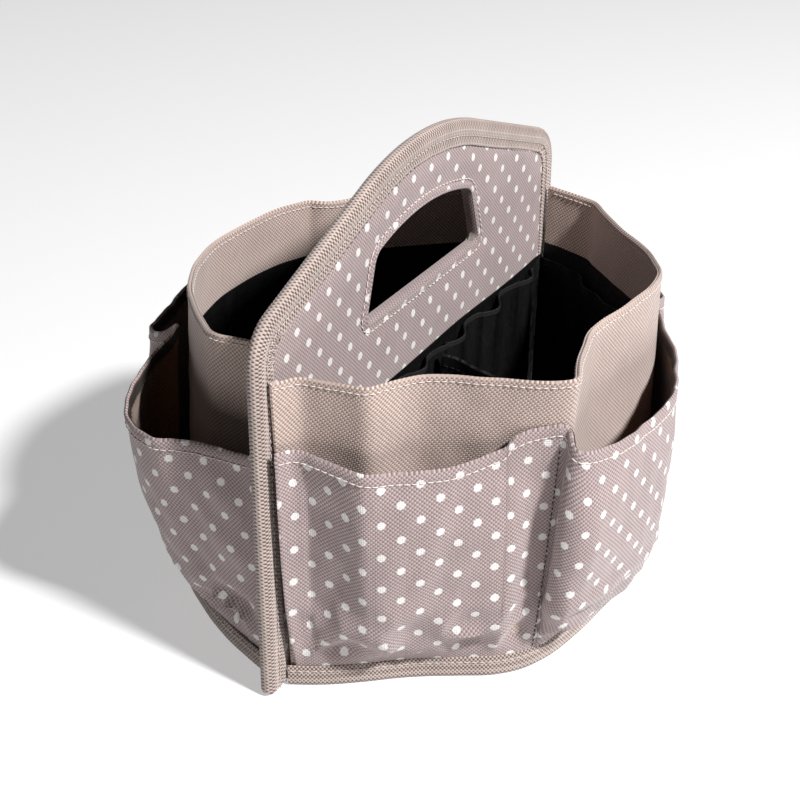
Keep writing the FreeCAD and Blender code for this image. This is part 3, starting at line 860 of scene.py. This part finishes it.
def divider_outline(inset, count, foot=0.0):
    """The divider's edge from its near foot over the top to its far foot, moved inwards."""
    half_width = DIVIDER_WIDTH / 2
    crown = CROWN_WIDTH / 2 / math.sin(SHOULDER_SLOPE)
    crown_z = DIVIDER_HEIGHT - crown
    shoulder_x = half_width - SHOULDER_RADIUS
    reach = crown_z * math.cos(SHOULDER_SLOPE) + crown - SHOULDER_RADIUS
    shoulder_z = (reach - shoulder_x * math.sin(SHOULDER_SLOPE)) / math.cos(SHOULDER_SLOPE)
    big, small = crown - inset, SHOULDER_RADIUS - inset
    right = []
    for a in np.linspace(0, SHOULDER_SLOPE, 24):
        right.append((big * math.sin(a), crown_z + big * math.cos(a)))
    for a in np.linspace(SHOULDER_SLOPE, math.pi / 2, 20):
        right.append((shoulder_x + small * math.sin(a), shoulder_z + small * math.cos(a)))
    right.append((half_width - inset, foot))
    right = np.array(right)
    left = right[:0:-1] * (-1, 1)
    return resample(np.vstack([left, right]), count)


def hole_outline(grow, count):
    """The hand hole: flat bottom, sides that lean in, arched top, rounded corners."""
    x = np.linspace(-HOLE_HALF_TOP, HOLE_HALF_TOP, 60)
    crown = np.column_stack([x, HOLE_SIDE_TOP + HOLE_ARCH * (1 - (x / HOLE_HALF_TOP) ** 2)])
    middle, left, right = ([(x, HOLE_BOTTOM)] for x in (0, -HOLE_HALF_WIDTH, HOLE_HALF_WIDTH))
    loop = np.vstack([middle, left, crown, right, middle])
    dense = resample(loop, 800)[:-1]
    window = 15
    padded = np.vstack([dense[-window:], dense, dense[:window]])
    kernel = np.ones(2 * window + 1) / (2 * window + 1)
    dense = np.stack([np.convolve(padded[:, k], kernel, "valid") for k in (0, 1)], 1)
    dense = np.vstack([dense, dense[:1]])
    tangent = unit(np.gradient(dense, axis=0))
    tangent[0] = tangent[-1] = unit(dense[1] - dense[-2])
    normal = np.stack([-tangent[:, 1], tangent[:, 0]], 1)
    if normal[0, 1] > 0:
        normal = -normal
    return resample(dense + normal * grow, count + 1)[:-1]


def polar(points, centre, angles):
    """Distance from a centre to a closed outline, at those angles."""
    d = points - centre
    a = np.arctan2(d[:, 1], d[:, 0])
    order = np.argsort(a)
    a, r = a[order], np.linalg.norm(d, axis=1)[order]
    a = np.concatenate([a - 2 * math.pi, a, a + 2 * math.pi])
    return np.interp(angles, a, np.tile(r, 3))


def build_divider_face(side):
    """The dotted cloth on one face of the divider, in rings from the hand hole to the edge."""
    name = NAMES[side]
    count = 260
    angles = np.linspace(-math.pi, math.pi, count, endpoint=False)
    outer = divider_outline(COVER_INSET, 900, 1.4)
    outer = np.vstack([outer, resample(np.array([outer[-1], outer[0]]), 500)])
    r_out = polar(outer, HOLE_CENTRE, angles)
    r_in = polar(hole_outline(0.4, 900), HOLE_CENTRE, angles)
    beyond = [0, 0.5, 1.2, 2.2, 3.2, 3.9, 4.4, 5.2, 7.0]
    shares = np.linspace(0, 1, 22)[1:]
    ring_r = [r_in + d for d in beyond]
    ring_r += [r_in + beyond[-1] + (r_out - r_in - beyond[-1]) * s for s in shares]
    ring_r = np.array(ring_r)
    x = HOLE_CENTRE[0] + ring_r * np.cos(angles)
    z = HOLE_CENTRE[1] + ring_r * np.sin(angles)
    from_hole = ring_r - r_in
    from_edge = r_out - ring_r
    bare = step(z, 94, 106)      # above the black lining, where the cloth is free to puff out
    puff = 0.75 * step(from_hole, 4.2, 16) * step(from_edge, 1, 14) * (0.25 + 0.75 * bare)
    rolled = 0.75 * np.exp(-((from_hole - 1.7) / 1.5) ** 2)
    rolled -= 0.12 * np.exp(-((from_hole - 4.0) / 0.5) ** 2)
    wrinkle = 0.22 * field(x, z, 34, 53 + side) * step(from_hole, 5, 14) * step(from_edge, 2, 12)
    y = COVER_FACE + puff + rolled + wrinkle * (0.3 + 0.7 * bare)
    rings = len(ring_r)
    front = np.stack([x, side * y, z], 2).reshape(-1, 3)
    back = np.stack([x, side * np.full_like(y, COVER_BACK), z], 2).reshape(-1, 3)
    verts = np.vstack([front, back])
    total = rings * count
    faces, uvs = [], []

    def add(ids):
        faces.append(ids)
        for i in ids:
            uvs.append((verts[i][0] + 3.0, verts[i][2] + 5.5))

    for r in range(rings - 1):
        for c in range(count):
            d = (c + 1) % count
            quad = [r * count + c, r * count + d, (r + 1) * count + d, (r + 1) * count + c]
            add(quad)
            add([total + i for i in reversed(quad)])
    for r in (0, rings - 1):
        for c in range(count):
            d = (c + 1) % count
            add([r * count + c, r * count + d, total + r * count + d, total + r * count + c])
    obj = make(name + "_divider_cloth", verts, faces, uvs, [DOTTED])
    tidy_normals(obj, 40)
    keep(obj, None, "dotted_fabric", "divider_" + name + "_cover")

    hole = hole_outline(4.1, 300)
    hole = np.vstack([hole, hole[:1]])
    pts = np.column_stack([hole[:, 0], np.full(len(hole), side * 2.2), hole[:, 1]])
    nrm = np.tile([0.0, side, 0.0], (len(pts), 1))
    sew(None, name + "_hole_thread", [(pts, nrm)], THREAD, "dotted_fabric", radius=0.27)


for side in (FRONT, REAR):
    build_divider_face(side)

# Turned cloth round the hand hole
hole = hole_outline(0.4, 220)
path = np.column_stack([hole[:, 0], np.zeros(len(hole)), hole[:, 1]])
tangent = unit(np.roll(path, -1, 0) - np.roll(path, 1, 0))
outward = np.column_stack([-tangent[:, 2], np.zeros(len(hole)), tangent[:, 0]])
if outward[0, 2] > 0:
    outward = -outward
across = np.tile([0.0, 1.0, 0.0], (len(path), 1))
# Section of the turned cloth, (out of the hole, across)
lip = [(0.9, -2.35), (0.35, -2.75), (-0.25, -2.55), (-0.6, -1.7), (-0.7, 0), (-0.6, 1.7),
       (-0.25, 2.55), (0.35, 2.75), (0.9, 2.35), (0.75, 1.2), (0.5, 0), (0.75, -1.2)]
piece = keep(sweep("hand_hole_trim", path, outward, across, lip, TURNED, closed=True), None,
             "dotted_fabric", "hand_hole_facing")


def build_edge_binding():
    """Webbing folded over the divider's edge, with its two rows of thread."""
    outline = divider_outline(0.0, 620)
    s = along(outline)
    path = np.column_stack([outline[:, 0], np.zeros(len(outline)), outline[:, 1]])
    tangent = unit(np.gradient(path, axis=0))
    inward = np.column_stack([tangent[:, 2], np.zeros(len(path)), -tangent[:, 0]])
    if inward[0, 0] < 0:
        inward = -inward
    across = np.tile([0.0, 1.0, 0.0], (len(path), 1))
    # How far in, and how far out from the middle plane
    flange = [(11.2, 2.0), (11.0, 2.6), (10.2, 2.85), (9.0, 2.85), (7.8, 2.7), (6.9, 2.5),
              (6.2, 2.65), (5.0, 3.0), (3.6, 3.15), (2.2, 2.95), (1.0, 2.35), (0.25, 1.3)]
    section = [(a, -b) for a, b in flange] + [(0.0, 0.0)] + [(a, b) for a, b in flange[::-1]]
    section += [(10.6, 1.95), (6.0, 1.95), (1.5, 1.0), (1.5, -1.0), (6.0, -1.95), (10.6, -1.95)]
    section = np.array(section, float)
    sections = np.repeat(section[None], len(path), 0)
    # The webbing puckers where its edge is eased round the tight curves
    turn = np.abs(np.gradient(np.unwrap(np.arctan2(tangent[:, 2], tangent[:, 0])), s))
    tight = np.convolve(np.clip(turn * 18, 0, 1), np.ones(9) / 9, "same")
    pucker = tight * np.sin(s * 2 * math.pi / 4.2)
    width = 0.22 * np.sin(s / 9.0) + 0.3 * np.sin(s / 23.0 + 1)
    inner = section[:, 0] > 8
    sections[:, inner, 0] += (width + 0.35 * pucker)[:, None]
    face = np.sign(section[:, 1]) * (np.abs(section[:, 1]) > 2.3)
    fade = np.clip((section[:, 0] - 5) / 4, 0, 1)
    sections[:, :, 1] += (0.42 * pucker + 0.08 * np.sin(s / 2.9))[:, None] * (face * fade)[None]
    ends = 0.62 + 0.38 * np.minimum(step(s, 0, 2.2), step(s[-1] - s, 0, 2.2))
    sections[..., 1] *= ends[:, None]
    sections[..., 0] = 6.0 + (sections[..., 0] - 6.0) * ends[:, None]
    obj = sweep("divider_edge_tape", path, inward, across, sections, WEBBING)
    keep(obj, None, "webbing", "divider_edge_binding")
    rows, loops = [], []
    for side in (FRONT, REAR):
        lift = side * across * 2.62
        rows.append((path + inward * 6.95 + lift, side * across))
        loops.append((path + inward * 11.3 + side * across * 2.3, side * across))
    sew(None, "divider_edge_thread", rows, WEBBING_THREAD, "webbing", radius=0.25)
    sew(None, "divider_edge_dark_thread", loops, DARK_THREAD, "webbing", length=1.1, radius=0.2,
        lift=0.1)


build_edge_binding()


LINING_TOP, LINING_HALF_WIDTH = 98.0, 112.5
GATHER_HALF_WIDTH, GATHERS, GATHER_BOTTOM, GATHER_TOP = 103, 12, 12.0, 94.8


def build_divider_lining(side):
    """Black lining low on the divider, and on it a gathered pocket with elastic in its top."""
    name = NAMES[side]
    x = np.linspace(-LINING_HALF_WIDTH, LINING_HALF_WIDTH, 70)
    z = np.linspace(2.2, LINING_TOP, 14)
    grid = np.zeros((len(z), len(x), 3))
    reach = (110 + 5.2 * z / LINING_TOP) / LINING_HALF_WIDTH
    grid[..., 0] = (x[None] if side == FRONT else x[None, ::-1]) * reach[:, None]
    grid[..., 2] = z[:, None] + (z[:, None] > 90) * 0.6 * np.sin(x[None] / 17)
    grid[..., 1] = side * (2.72 + 0.1 * field(grid[..., 0], grid[..., 2], 25, 61 + side)
                           + 0.5 * step(grid[..., 2], 88, 97)
                           + 0.65 * step(np.abs(grid[..., 0]), 110.5, 112.8))
    cloth(None, name + "_divider_lining_cloth", grid, 0.35, LINING, "black_lining",
          name + "_divider_lining", (0.225, 0.096), "stretched", [name + "_divider_cloth"])

    rows, count = 26, 300
    wide = GATHER_HALF_WIDTH
    x = np.linspace(-wide, wide, count)
    draw = random.Random(77 + side)
    phase = x / wide * GATHERS * math.pi + 0.5 * np.sin(x / 21.0) + 0.35 * np.sin(x / 9.0 + 1)
    wave = 0.5 - 0.5 * np.cos(phase)
    heights = [draw.uniform(0.65, 1.25) for _ in range(14)]
    height = np.interp(x, np.linspace(-wide, wide, len(heights)), heights)
    # Flat at both ends, and in the front half where the partition meets it
    ends = step(wide - np.abs(x), 0, 8) * (1 - 0.8 * np.exp(-(x / 5.0) ** 2) * (side == FRONT))
    top = GATHER_TOP + (2.2 * np.sin(phase * 0.5 + 0.6) + 1.2 * wave) * ends
    grid = np.zeros((rows, count, 3))
    for r, share in enumerate(np.linspace(0, 1, rows)):
        depth = (0.2 + 3.9 * share ** 1.8) * wave * height * ends
        grid[r, :, 0] = x
        grid[r, :, 2] = GATHER_BOTTOM + share * (top - GATHER_BOTTOM)
        crumple = 0.4 * field(x, grid[r, :, 2], 13, 81 + side, 3.0) * share
        grid[r, :, 1] = side * (3.95 + depth + np.abs(crumple))
    if side == REAR:
        grid = grid[:, ::-1]
    cloth(None, name + "_divider_gathers", grid, 0.5, LINING, "black_lining",
          name + "_divider_pockets", (0.25, 0.085), "gathered", [name + "_divider_lining_cloth"])
    edge = ribbon(offset(grid, 0.45), below_top(grid, 2.0), below_top(grid, -0.2))
    cloth(None, name + "_divider_elastic_edge", edge, 0.4, ELASTIC, "black_lining",
          name + "_divider_elastic", (0.25, 0.01), "gathered", [name + "_divider_gathers"],
          area=0.00078)


for side in (FRONT, REAR):
    build_divider_lining(side)


def build_partition():
    """The cloth across the front compartment, pulled a little out of line at its top."""
    rows, cols = 22, 50
    grid = np.zeros((rows, cols, 3))
    y_share = np.linspace(0, 1, cols)
    for r, share in enumerate(np.linspace(0, 1, rows)):
        z = 2.8 + share * 93.2
        start = 5.0 + 4.6 * step(z, 60, 90)
        reach = 85.5 - 2.6 * share
        y = start + (reach - start) * y_share
        pull = share ** 1.4
        x = -16.0 * pull * y_share ** 1.2 + 3.0 * pull * (1 - y_share)
        x = x + 1.6 * share * np.sin(y_share * 8.0) + 0.6 * share * np.sin(y_share * 21)
        grid[r, :, 0] = x
        grid[r, :, 1] = -y
        grid[r, :, 2] = z + 2.0 * share * (y_share - 0.5) - 2.2 * share * np.sin(math.pi * y_share)
    level = np.arange(rows)[:, None]
    thick = np.where(level > rows - 3, 1.7, 0.9) * np.ones((1, cols))
    cloth(FRONT, "front_partition_cloth", grid, thick, LINING, "black_lining", "front_partition",
          (0.084, 0.094), "hung", ["front_divider_lining_cloth", "front_wall_lining_cloth"])
    hem_rows = [on_grid(offset(grid, face * 0.86), below_top(grid, 4.4), face) for face in (1, -1)]
    sew(FRONT, "front_partition_thread", hem_rows, ELASTIC, "black_lining", radius=0.22)


build_partition()


BOARD_THICKNESS, BOARD_MIDDLE, BOARD_INSET = 2.2, 4.0, 6.4
BOARD_START = 7.6                 # from the middle plane, so that a folded board clears the linings
BOARD_TUCK = 9.5                  # cut off the left board's far corner, which clears the partition


def build_board(name, side, low, high):
    """A stiff panel wrapped in black cloth, cut to the bottom of its compartment."""
    edge = resample(turned_in(halves[side].base, BOARD_INSET), 400)
    xs = np.linspace(low, high, 60)
    order = np.argsort(edge[:, 0])
    far = np.interp(xs, edge[order, 0], np.abs(edge[order, 1]))
    wide_enough = far > BOARD_START + 3
    xs, far = xs[wide_enough], far[wide_enough]
    rows = 20
    grid = np.full((rows, len(xs), 3), BOARD_MIDDLE)
    tuck = BOARD_TUCK * ((xs - low) / (high - low)) ** 4 * (high < 0)
    for r, share in enumerate(np.linspace(0, 1, rows)):
        grid[r, :, 0] = xs - tuck * share ** 2.5
        grid[r, :, 1] = side * (BOARD_START + share * (far - BOARD_START))
    if side == FRONT:
        grid = grid[:, ::-1]
    obj = shell(name + "_board_panel", grid, BOARD_THICKNESS, BOARD)
    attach(obj, name + "_board")
    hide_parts(name + "_base_board")


build_board("front_left", FRONT, -102.0, -2.6)
build_board("front_right", FRONT, 2.6, 104.0)
build_board("rear", REAR, -103.0, 104.0)

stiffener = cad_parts["divider_stiffener"]
if not stiffener.material_slots:
    stiffener.data.materials.append(FIBRE)
for held in stiffener.material_slots:
    held.material = FIBRE

# Each piece of cloth of either half gets its own copy of its mesh.
for side, joint in ((FRONT, "front_left_board_fold"), (REAR, "rear_board_fold")):
    for obj in pieces_of[side]:
        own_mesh(obj)


# ---- Floor, light and camera ----

def build_floor():
    f = Finish("pale_floor", 0.75, specular=0.2)
    place = f.tree.nodes.new("ShaderNodeTexCoord")
    f.uv = place.outputs["Object"]
    tone = f.between(f.noise(3.0, 4), 0.3, 0.7, 0.985, 1.0)
    f.colour(f.mix(tone, (0.54, 0.54, 0.54), (0.56, 0.56, 0.56)))
    f.bump(f.noise(700.0, 2), 0.02, 0.2)
    f.shader.inputs["Emission Color"].default_value = (1, 1, 1, 1)
    f.shader.inputs["Emission Strength"].default_value = 0.42
    size, z = 4.0, -0.0002       # metres
    mesh = bpy.data.meshes.new("floor")
    corners = [(-size, -size, z), (size, -size, z), (size, size, z), (-size, size, z)]
    mesh.from_pydata(corners, [], [(0, 1, 2, 3)])
    mesh.uv_layers.new(name="cloth")
    mesh.materials.append(f.material)
    show("floor", mesh)


AIM = Vector((0, 0, 0.08))       # metres: what the lights point at


def area_light(name, place, size, power):
    lamp = bpy.data.lights.new(name, "AREA")
    lamp.shape = "DISK"
    lamp.size = size
    lamp.energy = power
    obj = show(name, lamp)
    obj.location = place
    obj.rotation_euler = (AIM - Vector(place)).to_track_quat("-Z", "Y").to_euler()


build_floor()
area_light("key", (-0.30, -1.42, 1.62), 0.22, 80)
area_light("fill", (-1.3, -0.5, 0.9), 1.2, 0.8)
area_light("back", (0.3, 1.2, 1.0), 1.2, 0.4)

world = bpy.data.worlds.new("studio")
bpy.context.scene.world = world
world.use_nodes = True
sky = world.node_tree.nodes["Background"]
sky.inputs["Color"].default_value = (1, 1, 1, 1)
sky.inputs["Strength"].default_value = 0.025
bpy.context.scene.view_settings.view_transform = "Standard"

# Solved from the photograph's perspective
CAMERA_AT = (-0.5394, -0.2905, 0.4097)
HEADING, PITCH, ROLL = math.radians(61.69), math.radians(28.29), math.radians(0.45)
lens = bpy.data.cameras.new("camera")
lens.lens = 73.4
lens.sensor_width = 36.0
lens.shift_x, lens.shift_y = -0.0242, -0.0197
lens.clip_start, lens.clip_end = 0.02, 50
camera = show("camera", lens)
turn = Matrix.Rotation(-HEADING, 4, "Z") @ Matrix.Rotation(math.pi / 2 - PITCH, 4, "X")
camera.matrix_world = Matrix.Translation(CAMERA_AT) @ turn @ Matrix.Rotation(ROLL, 4, "Z")
bpy.context.scene.camera = camera
